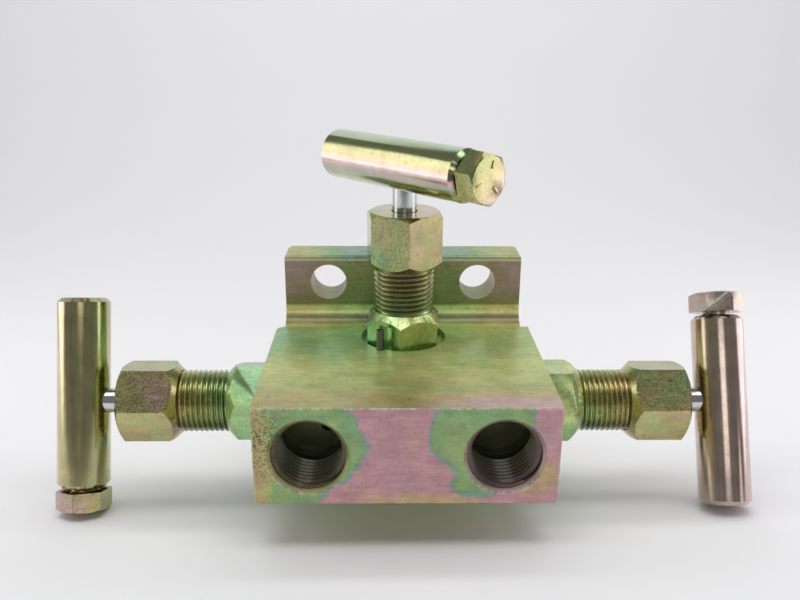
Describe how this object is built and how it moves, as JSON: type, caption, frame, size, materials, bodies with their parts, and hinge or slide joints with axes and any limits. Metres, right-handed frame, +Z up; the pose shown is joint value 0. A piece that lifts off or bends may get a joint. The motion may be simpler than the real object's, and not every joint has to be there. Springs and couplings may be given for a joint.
{
  "type": "three-valve manifold",
  "caption": "Steel instrument manifold: flanged block with threaded pipe ports and needle valves, each with bonnet, packing nut and T-bar handle.",
  "frame": {"origin": "centre of the flange's mounting face", "axes": "+Y out of the flange's mounting face towards the instrument, +Z up along the top valve, pipe ports open towards -Y"},
  "size_m": [0.2153, 0.0813, 0.1167],
  "materials": {
    "plated_block": "yellow chromate over zinc, machined",
    "plated_turned": "yellow chromate over zinc, turned and threaded",
    "plated_hex": "yellow chromate over zinc, hexagon stock",
    "plated_bar": "yellow chromate over zinc, drawn bar",
    "plated_bolt": "yellow zinc plated bolt",
    "stainless": "polished stainless steel",
    "pin_steel": "dark spring steel",
    "seal_metal": "soft stainless ring",
    "packing": "white fluoropolymer packing",
    "ring_polymer": "white fluoropolymer ring"
  },
  "bodies": {
    "root": {"manifold_body": "plated_block", "flange_rings": "ring_polymer", "left_bonnet": "plated_turned", "left_bonnet_seal": "seal_metal", "left_packing_nut": "plated_hex", "left_gland": "stainless", "left_packing_washer": "stainless", "left_packing": "packing", "left_lock_pin": "pin_steel", "right_bonnet": "plated_turned", "right_bonnet_seal": "seal_metal", "right_packing_nut": "plated_hex", "right_gland": "stainless", "right_packing_washer": "stainless", "right_packing": "packing", "right_lock_pin": "pin_steel", "top_bonnet": "plated_turned", "top_bonnet_seal": "seal_metal", "top_packing_nut": "plated_hex", "top_gland": "stainless", "top_packing_washer": "stainless", "top_packing": "packing", "top_lock_pin": "pin_steel"},
    "left_needle": {"left_needle": "stainless"},
    "left_spindle": {"left_stem": "stainless", "left_handle_bar": "plated_bar", "left_handle_bolt": "plated_bolt"},
    "right_needle": {"right_needle": "stainless"},
    "right_spindle": {"right_stem": "stainless", "right_handle_bar": "plated_bar", "right_handle_bolt": "plated_bolt"},
    "top_needle": {"top_needle": "stainless"},
    "top_spindle": {"top_stem": "stainless", "top_handle_bar": "plated_bar", "top_handle_bolt": "plated_bolt"}
  },
  "joints": [
    {"name": "left_needle_lift", "type": "slide", "parent": "root", "child": "left_needle", "axis": [-1, 0, 0], "range_m": [0, 0.00445]},
    {"name": "left_handle_turn", "type": "hinge", "parent": "left_needle", "child": "left_spindle", "pos_m": [-0.0997, -0.045, 0], "axis": [-1, 0, 0], "range_deg": [0, 1260]},
    {"name": "right_needle_lift", "type": "slide", "parent": "root", "child": "right_needle", "axis": [1, 0, 0], "range_m": [0, 0.00445]},
    {"name": "right_handle_turn", "type": "hinge", "parent": "right_needle", "child": "right_spindle", "pos_m": [0.0997, -0.045, 0], "axis": [1, 0, 0], "range_deg": [0, 1260]},
    {"name": "top_needle_lift", "type": "slide", "parent": "root", "child": "top_needle", "axis": [0, 0, 1], "range_m": [-0.00064, 0.00381]},
    {"name": "top_handle_turn", "type": "hinge", "parent": "top_needle", "child": "top_spindle", "pos_m": [0, -0.0273, 0.07], "axis": [0, 0, 1], "range_deg": [-180, 1080]}
  ],
  "couplings": [
    {"joint": "left_needle_lift", "follows": "left_handle_turn", "m_per_rad": 0.00020213},
    {"joint": "right_needle_lift", "follows": "right_handle_turn", "m_per_rad": 0.00020213},
    {"joint": "top_needle_lift", "follows": "top_handle_turn", "m_per_rad": 0.00020213}
  ]
}
